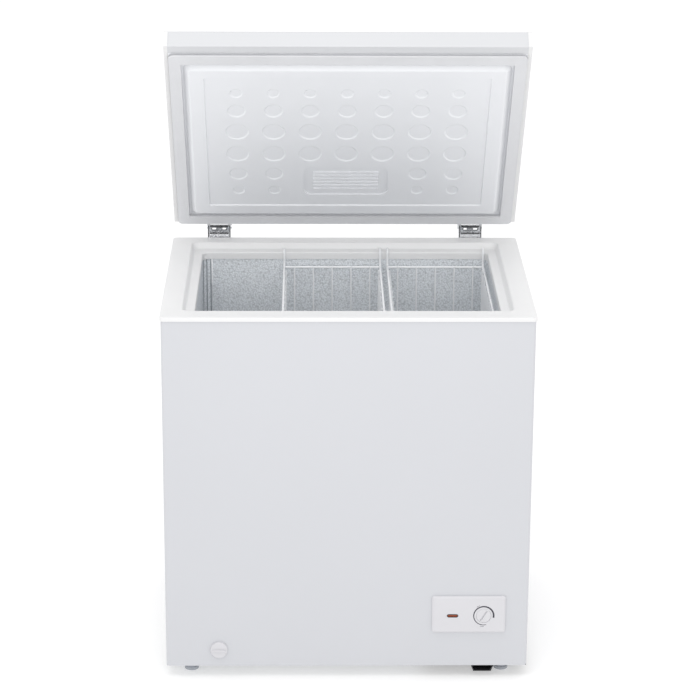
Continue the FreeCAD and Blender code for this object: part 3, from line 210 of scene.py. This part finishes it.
def drawn_metal(name, colour, roughness):
    """Drawn or pressed metal with fine scratches."""
    m = new_material(name, colour, roughness, metallic=1.0)
    where = place(m, scale=(1, 1, 12))
    lines = noise(m, where, 160.0, 3.0)
    blotch = noise(m, place(m), 30.0, 3.0)
    colour_ramp = tint(m, blotch, "Fac", shade(colour, 0.82), shade(colour, 1.08))
    sheen = spread(m, lines, "Fac", 0.3, 0.7, roughness - 0.08, roughness + 0.1)
    return finish_surface(m, colour_ramp, sheen, bump(m, lines, "Fac", 0.15, 0.0001))


def coated_wire(name, colour):
    """Steel wire dipped in white polymer: glossy, slightly lumpy."""
    m = new_material(name, colour, 0.3, coat=0.3, coat_roughness=0.15)
    where = place(m)
    lumps = noise(m, where, 160.0, 2.0)
    drift = noise(m, where, 20.0, 2.0)
    colour_ramp = tint(m, drift, "Fac", shade(colour, 0.96), shade(colour, 1.02))
    sheen = spread(m, lumps, "Fac", 0.3, 0.7, 0.26, 0.36)
    return finish_surface(m, colour_ramp, sheen, bump(m, lumps, "Fac", 0.3, 0.0003))


def soft_rubber(name, colour, roughness=0.6):
    m = new_material(name, colour, roughness)
    where = place(m)
    grain = noise(m, where, 600.0, 3.0)
    bloom = noise(m, where, 25.0, 4.0)
    colour_ramp = tint(m, bloom, "Fac", shade(colour, 0.94), shade(colour, 1.03))
    sheen = spread(m, bloom, "Fac", 0.3, 0.7, roughness - 0.06, roughness + 0.08)
    return finish_surface(m, colour_ramp, sheen, bump(m, grain, "Fac", 0.3, 0.00015))


def rigid_foam(name, colour):
    m = new_material(name, colour, 0.85)
    where = place(m)
    cells = add(m, "ShaderNodeTexVoronoi")
    cells.inputs["Scale"].default_value = 300.0
    join(m, where, "Vector", cells, "Vector")
    patch = noise(m, where, 18.0, 4.0)
    colour_ramp = tint(m, patch, "Fac", shade(colour, 0.86), shade(colour, 1.05))
    sheen = spread(m, patch, "Fac", 0.3, 0.7, 0.8, 0.92)
    return finish_surface(m, colour_ramp, sheen, bump(m, cells, "Distance", 0.5, 0.0006))


def tinted_lens(name, colour):
    """Orange lens with moulded flutes inside; the flutes are painted in lighter and darker bands as
    painted highlight and shade.
    """
    m = new_material(name, colour, 0.35)
    where = place(m)
    flutes = add(m, "ShaderNodeTexWave", bands_direction="X")
    flutes.inputs["Scale"].default_value = 160.0
    join(m, where, "Vector", flutes, "Vector")
    # Bands along the flutes run from 0.55 to 1.1 of the orange: painted shade and painted highlight.
    colour_ramp = tint(m, flutes, "Fac", shade(colour, 0.55), shade(colour, 1.1))
    sheen = spread(m, flutes, "Fac", 0.0, 1.0, 0.30, 0.42)
    return finish_surface(m, colour_ramp, sheen, bump(m, flutes, "Fac", 0.2, 0.0003))


FINISHES = {
    "white_steel": powder_paint("white sheet paint", (0.582, 0.59, 0.618), 0.34),
    # A lighter copy of the white paint for the lid: painted light against the shade that falls on the lid.
    "lid_paint_lightened_for_shade": powder_paint("lid sheet paint lightened for shade", (0.635, 0.642, 0.66), 0.34),
    "white_plastic": moulded_plastic("white moulding", (0.77, 0.77, 0.772), 0.36),
    "panel_white": moulded_plastic("formed lid lining", (0.80, 0.81, 0.835), 0.40, 700.0),
    "stucco_aluminium": stucco_aluminium("stucco aluminium", (0.93, 0.965, 1.0)),
    "galvanised": zinc_sheet("galvanised sheet", (0.62, 0.64, 0.66)),
    "zinc_plate": zinc_sheet("zinc plate", (0.74, 0.75, 0.77), 0.28, 240.0),
    "spring_steel": drawn_metal("spring steel", (0.42, 0.42, 0.44), 0.35),
    "copper_tube": drawn_metal("copper tube", (0.72, 0.42, 0.28), 0.34),
    "coil_tube": drawn_metal("coil tube", (0.66, 0.67, 0.69), 0.38),
    "coated_wire": coated_wire("dipped wire", (0.86, 0.87, 0.885)),
    "gasket_white": soft_rubber("seal", (0.69, 0.695, 0.715), 0.5),
    "black_rubber": soft_rubber("black rubber", (0.025, 0.025, 0.027), 0.62),
    "black_steel": powder_paint("black enamel", (0.028, 0.028, 0.031), 0.34),
    "black_plastic": moulded_plastic("black moulding", (0.03, 0.03, 0.033), 0.45),
    "foot_grey": moulded_plastic("grey foot", (0.40, 0.42, 0.46), 0.42),
    "amber_lens": tinted_lens("orange lens", (0.34, 0.06, 0.015)),
    "foam": rigid_foam("rigid foam", (0.80, 0.70, 0.42)),
    "control_white": moulded_plastic("control moulding", (0.635, 0.63, 0.655), 0.34),
    "print_grey": moulded_plastic("printed ink", (0.035, 0.035, 0.05), 0.6),
    # Darker metal for the tub's corner beads and fold: painted shade.
    "corner_painted_shade": drawn_metal("shaded fold", (0.40, 0.42, 0.45), 0.5),
    # Near-black strips on the hinge brackets: painted shade in their gaps and folds.
    "painted_hinge_shade": powder_paint("hinge painted shade", (0.03, 0.03, 0.033), 0.5),
    "bright_fold": drawn_metal("bright fold", (0.92, 0.93, 0.95), 0.3),
}
OWN_FINISH = {"control_bezel": "control_white", "thermostat_knob": "control_white",
              "drain_cap": "control_white", "lid_skin": "lid_paint_lightened_for_shade"}
for entry in frame["record"]["subparts"]:
    shown = frame["nodes"][entry["node"]]
    for slot in shown.material_slots:
        slot.material = FINISHES[OWN_FINISH.get(entry["node"], entry["material_slot"])]


# ---------------------------------------------------------------- new pieces
BEZEL_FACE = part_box("control_bezel")[0][1]    # the bezel's front face
KNOB_LOW, KNOB_HIGH = (Vector(p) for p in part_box("thermostat_knob"))
KNOB_AT = (KNOB_LOW + KNOB_HIGH) / 2
LENS_LOW, LENS_HIGH = (Vector(p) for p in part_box("indicator_lens"))
RIM_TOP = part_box("top_rim")[1][2]
LINER_LOW, LINER_HIGH = (Vector(p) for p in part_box("liner_walls"))


def finish_piece(name, bm, finish, body, bevel_width=0.0):
    """A mesh piece at the origin with its normals outwards, riding on a body."""
    bmesh.ops.remove_doubles(bm, verts=bm.verts, dist=1e-6)
    bmesh.ops.recalc_face_normals(bm, faces=bm.faces)
    if bevel_width:
        bmesh.ops.bevel(bm, geom=bm.edges[:], offset=bevel_width, segments=2, affect="EDGES",
                        profile=0.5, material=-1)
    mesh = bpy.data.meshes.new(name)
    bm.to_mesh(mesh)
    bm.free()
    for polygon in mesh.polygons:
        polygon.use_smooth = True
    piece = bpy.data.objects.new(name, mesh)
    bpy.context.scene.collection.objects.link(piece)
    mesh.set_sharp_from_angle(angle=math.radians(35))
    mesh.materials.append(FINISHES[finish])
    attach(piece, body)
    return piece


def block(bm, low, high):
    """Adds a box between two corners to a bmesh."""
    low, high = Vector(low), Vector(high)
    scale = Matrix.Diagonal((*(high - low), 1))
    bmesh.ops.create_cube(bm, size=1, matrix=Matrix.Translation((low + high) / 2) @ scale)


def arc_strip(bm, centre, radius, start, end, width_start, width_end, thickness, face_y, steps=48):
    """A printed arc on the front: it swells from one width to the other as it goes round."""
    grid = []
    for n in range(steps + 1):
        share = n / steps
        a = math.radians(start + (end - start) * share)
        half = (width_start + (width_end - width_start) * share) / 2
        grid.append([Vector((centre.x + (radius + r) * math.cos(a), y,
                             centre.z + (radius + r) * math.sin(a)))
                     for r, y in ((-half, face_y), (half, face_y),
                                  (half, face_y - thickness), (-half, face_y - thickness))])
    rings = [[bm.verts.new(p) for p in row] for row in grid]
    for a, b in zip(rings, rings[1:]):
        for n in range(4):
            bm.faces.new((a[n], a[(n + 1) % 4], b[(n + 1) % 4], b[n]))
    bm.faces.new(rings[0])
    bm.faces.new(rings[-1])


def oblong_ring(bm, centre, half_x, half_z, band, face_y, thickness, steps=12):
    """A flat oblong ring on a face that looks to the front."""
    loops = []
    for grow, y in ((0, face_y), (band, face_y), (band, face_y - thickness), (0, face_y - thickness)):
        r, straight = half_z + grow, half_x - half_z
        loop = []
        for side in (1, -1):
            for n in range(steps + 1):
                a = -math.pi / 2 + math.pi * n / steps
                loop.append(bm.verts.new((centre.x + side * (straight + r * math.cos(a)), y,
                                          centre.z + side * r * math.sin(a))))
        loops.append(loop)
    count = len(loops[0])
    for a, b in zip(loops, loops[1:] + loops[:1]):
        for n in range(count):
            bm.faces.new((a[n], a[(n + 1) % count], b[(n + 1) % count], b[n]))


def dial_print():
    """Temperature arc round the knob, with a short stroke at its low and high ends."""
    ink = 0.12 * MM
    arc_radius, thin_end, thick_end = 20.8 * MM, 1.2 * MM, 3.6 * MM
    stroke_radius, stroke_width, half_stroke = 24.4 * MM, 0.7 * MM, 9
    bm = bmesh.new()
    arc_strip(bm, KNOB_AT, arc_radius, 285, -12, thin_end, thick_end, ink, BEZEL_FACE)
    for angle in (262, 118):
        arc_strip(bm, KNOB_AT, stroke_radius, angle + half_stroke, angle - half_stroke,
                  stroke_width, stroke_width, ink, BEZEL_FACE, 10)
    finish_piece("dial_print", bm, "print_grey", "cabinet")


def lens_surround():
    """Dark band round the indicator's lens, on the foremost of the lens and the bezel."""
    half_length, half_height, band, ink = 10.0 * MM, 2.2 * MM, 1.6 * MM, 0.15 * MM
    face = min(BEZEL_FACE, LENS_LOW.y)
    bm = bmesh.new()
    oblong_ring(bm, (LENS_LOW + LENS_HIGH) / 2, half_length, half_height, band, face, ink)
    finish_piece("lens_surround", bm, "black_plastic", "cabinet")


def upright_rod(bm, x, y, low, high, radius):
    """A vertical rod, half sunk in the wall behind it."""
    bmesh.ops.create_cone(bm, cap_ends=True, segments=16, radius1=radius, radius2=radius, depth=high - low,
                          matrix=Matrix.Translation((x, y, (low + high) / 2)))


def tub_folds():
    """Folded seam of the tub's sheet on the rear wall; two beads and a fold in the left corner, finished
    dark as painted shade in the corner.
    """
    gauge, corner, bead_radius = 0.8 * MM, 20 * MM, 1.1 * MM
    seam_start, seam_end, seam_depth = 0.6 * MM, 3.2 * MM, 1.5 * MM
    fold_start, fold_end, fold_depth, fold_sunk = 1.8 * MM, 0.2 * MM, 0.4 * MM, 0.3 * MM
    low, high = LINER_LOW.z + 12 * MM, LINER_HIGH.z
    x, y = LINER_LOW.x + gauge + corner, LINER_HIGH.y - gauge
    bm = bmesh.new()
    block(bm, (x + seam_start, y - seam_depth, low), (x + seam_end, y, high))
    finish_piece("tub_lock_seam", bm, "bright_fold", "cabinet", 0.4 * MM)
    # The corner beads and fold are dark strips of painted shade where the tub wall turns.
    bm = bmesh.new()
    for angle in (118, 148):
        a = math.radians(angle)
        upright_rod(bm, x + corner * math.cos(a), y - corner + corner * math.sin(a), low, high,
                    bead_radius)
    block(bm, (x - fold_start, y - fold_depth, low), (x - fold_end, y + fold_sunk, high))
    finish_piece("tub_corner_shade_beads", bm, "corner_painted_shade", "cabinet")


def hinge_shade_strips(side):
    """Dark strips on a hinge bracket's front web, painted shade for its gaps and folds: top band, slot
    rim, lower line, both ears.
    """
    low, high = (Vector(p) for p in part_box("hinge_cabinet_bracket_" + side))
    proud, inside = low.y - 0.03 * MM, low.y + 0.3 * MM
    bm = bmesh.new()
    for start, end, inset in ((high.z - 3.2 * MM, high.z - 0.4 * MM, 5 * MM),
                              (RIM_TOP + 8.4 * MM, RIM_TOP + 10.6 * MM, 4 * MM)):
        block(bm, (low.x + inset, proud, start), (high.x - inset, inside, end))
    ear_inset, half_width = 1.2 * MM, 0.9 * MM
    for x in (low.x + ear_inset, high.x - ear_inset):
        block(bm, (x - half_width, proud, RIM_TOP + 1 * MM),
              (x + half_width, inside, high.z - 0.4 * MM))
    slot = Vector(((low.x + high.x) / 2, 0, high.z - 7.5 * MM))
    oblong_ring(bm, slot, 16 * MM, 2.8 * MM, 1.1 * MM, inside, inside - proud)
    finish_piece("hinge_shade_strips_" + side, bm, "painted_hinge_shade", "cabinet")


hinge_shade_strips("left")
hinge_shade_strips("right")
dial_print()
lens_surround()
tub_folds()

# ---------------------------------------------------------------- floor, light, camera
floor_paper = new_material("floor paper", (0.62, 0.62, 0.62), 0.9)
shader_of(floor_paper).inputs["Emission Color"].default_value = (1, 1, 1, 1)
shader_of(floor_paper).inputs["Emission Strength"].default_value = 0.42
weave = noise(floor_paper, place(floor_paper), 60.0, 3.0)
finish_surface(floor_paper, tint(floor_paper, weave, "Fac", (0.61, 0.61, 0.61), (0.63, 0.63, 0.63)))


def studio_floor():
    """A flat sheet of pale paper under the freezer."""
    bm = bmesh.new()
    bmesh.ops.create_grid(bm, x_segments=2, y_segments=2, size=9.0)
    mesh = bpy.data.meshes.new("floor")
    bm.to_mesh(mesh)
    bm.free()
    floor = bpy.data.objects.new("floor", mesh)
    bpy.context.scene.collection.objects.link(floor)
    mesh.materials.append(floor_paper)


def soft_box(name, place_at, look_at, width, height, power, spread_angle=180):
    light = bpy.data.lights.new(name, "AREA")
    light.shape = "RECTANGLE"
    light.size, light.size_y = width, height
    light.energy = power
    light.spread = math.radians(spread_angle)
    holder = bpy.data.objects.new(name, light)
    holder.location = place_at
    holder.rotation_euler = (Vector(look_at) - Vector(place_at)).to_track_quat("-Z", "Y").to_euler()
    bpy.context.scene.collection.objects.link(holder)


def studio_light():
    world = bpy.data.worlds.new("studio")
    world.use_nodes = True
    world.node_tree.nodes["Background"].inputs["Color"].default_value = (1, 1, 1, 1)
    world.node_tree.nodes["Background"].inputs["Strength"].default_value = 1.0
    bpy.context.scene.world = world
    soft_box("key", (-0.5, -1.6, 4.6), (0, 0, 0.7), 2.6, 1.8, 32)
    soft_box("fill", (0, -2.8, 1.6), (0, 0.2, 0.9), 1.6, 0.8, 2.4, 70)


def studio_camera():
    """Stands about five metres in front and a metre above the raised lid."""
    yaw, pitch, roll = (math.radians(a) for a in (1.03, -17.53, 0.35))
    camera = bpy.data.cameras.new("camera")
    camera.sensor_width = 36.0
    camera.lens = 128.03
    camera.shift_y = -0.1
    camera.clip_end = 100
    holder = bpy.data.objects.new("camera", camera)
    holder.location = (-0.0829, -5.0224, 2.3653)
    turn = (Matrix.Rotation(-yaw, 3, "Z") @ Matrix.Rotation(math.pi / 2 + pitch, 3, "X")
            @ Matrix.Rotation(roll, 3, "Z"))
    holder.rotation_euler = turn.to_euler()
    bpy.context.scene.collection.objects.link(holder)
    bpy.context.scene.camera = holder


studio_floor()
studio_light()
studio_camera()
bpy.context.scene.view_settings.view_transform = "Standard"
